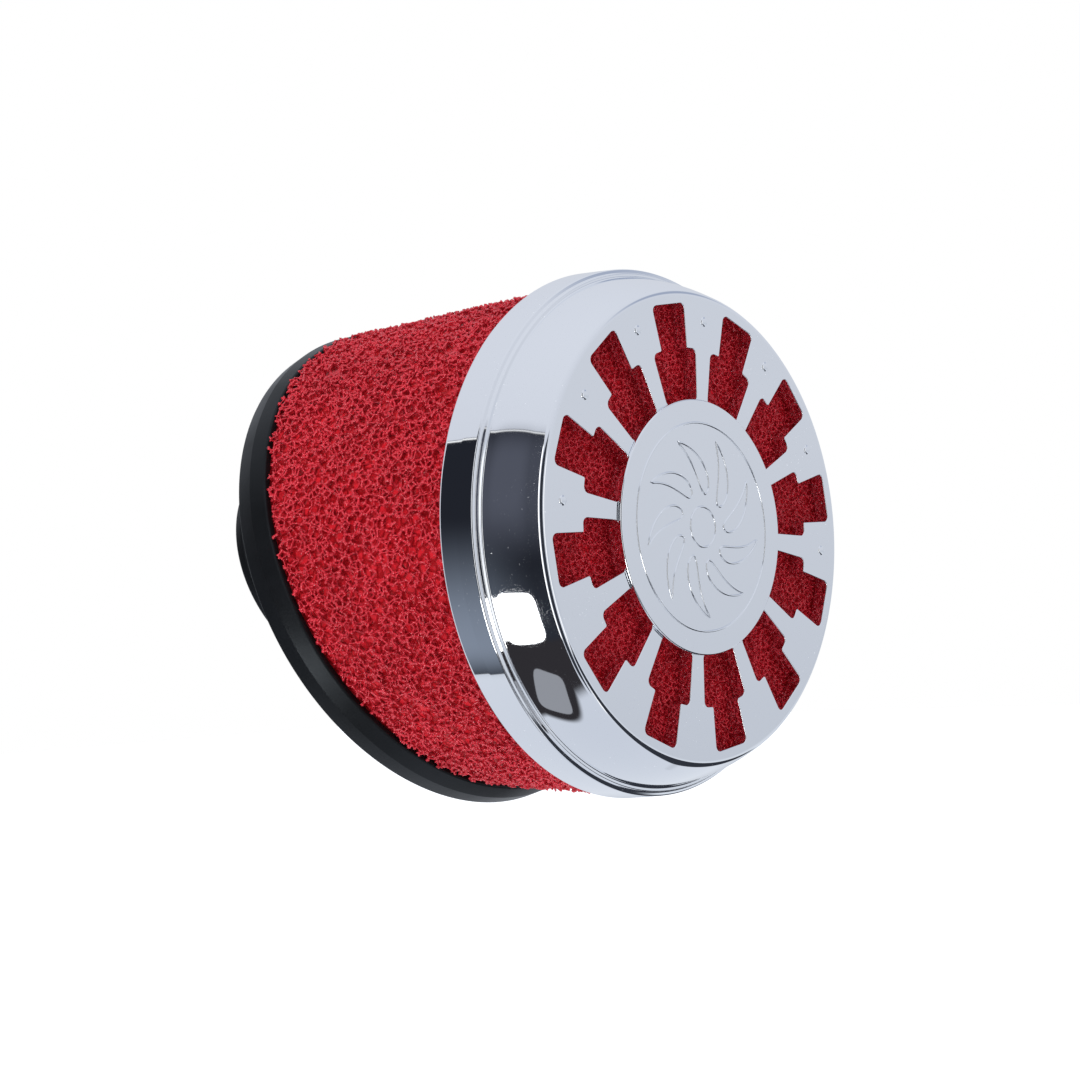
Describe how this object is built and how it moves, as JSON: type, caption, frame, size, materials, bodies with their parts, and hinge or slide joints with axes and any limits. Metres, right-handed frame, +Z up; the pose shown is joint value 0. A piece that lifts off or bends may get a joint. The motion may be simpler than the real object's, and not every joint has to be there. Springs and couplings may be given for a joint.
{
  "type": "motorcycle air filter",
  "caption": "Clamp-on pod air filter: slotted chrome cap, red foam element on a wire cage, tilted black rubber base with a carburettor neck and hose clamp.",
  "frame": {"origin": "centre of the neck's mouth, where the filter meets the carburettor", "axes": "-Y is the way the chrome cap faces, +Z is up, towards the long side of the foam, +X completes a right-handed frame; the neck's own axis leans 18 degrees down from +Y"},
  "size_m": [0.0918, 0.0991, 0.0919],
  "materials": {
    "cap_chrome": "bright chrome plating on moulded plastic",
    "badge_chrome": "bright chrome plating with an engraved line pattern",
    "foam_coarse": "coarse open-cell reticulated foam, saturated red",
    "foam_fine": "fine open-cell reticulated foam, deep red",
    "rubber_black": "moulded black rubber, satin",
    "cage_steel": "zinc-plated steel",
    "clamp_steel": "bright rolled stainless steel strip",
    "zinc_steel": "bright zinc-plated fasteners"
  },
  "bodies": {
    "filter": {"base_rubber": "rubber_black", "base_plate": "cage_steel", "base_screw_1": "zinc_steel", "base_screw_2": "zinc_steel", "base_screw_3": "zinc_steel", "base_screw_4": "zinc_steel", "cage_hub": "cage_steel", "cage_wire_1": "cage_steel", "cage_wire_2": "cage_steel", "cage_wire_3": "cage_steel", "cage_wire_4": "cage_steel", "cage_wire_5": "cage_steel", "cage_wire_6": "cage_steel", "cage_front_hoop": "cage_steel", "cage_middle_hoop": "cage_steel", "cage_rear_hoop": "cage_steel", "foam_outer_sleeve": "foam_coarse", "foam_inner_sleeve": "foam_fine", "clamp_band": "clamp_steel", "clamp_housing": "clamp_steel"},
    "cap": {"cap_shell": "cap_chrome", "foam_front_disc": "foam_fine"},
    "badge": {"cap_badge": "badge_chrome"},
    "bolt": {"cap_bolt": "zinc_steel", "cap_washer": "zinc_steel"},
    "screw": {"clamp_screw": "zinc_steel"},
    "tail": {"clamp_tail": "clamp_steel"}
  },
  "joints": [
    {"name": "cap_slide", "type": "slide", "parent": "filter", "child": "cap", "axis": [0, -1, 0], "range_m": [0, 0.04]},
    {"name": "badge_slide", "type": "slide", "parent": "cap", "child": "badge", "axis": [0, -1, 0], "range_m": [0, 0.015]},
    {"name": "bolt_turn", "type": "hinge", "parent": "cap", "child": "bolt", "pos_m": [0, -0.09145, 0.00084], "axis": [0, -1, 0], "continuous": true},
    {"name": "clamp_screw_turn", "type": "hinge", "parent": "filter", "child": "screw", "pos_m": [0.027, -0.00903, 0.00294], "axis": [0, 0.309, 0.9511], "range_deg": [-720, 1440]},
    {"name": "clamp_tail_feed", "type": "hinge", "parent": "filter", "child": "tail", "pos_m": [0, 0, 0], "axis": [0, 0.9511, -0.309], "range_deg": [-7.4, 14.8]}
  ],
  "couplings": [
    {"joint": "clamp_screw_turn", "follows": "clamp_tail_feed", "ratio": 96.971}
  ]
}
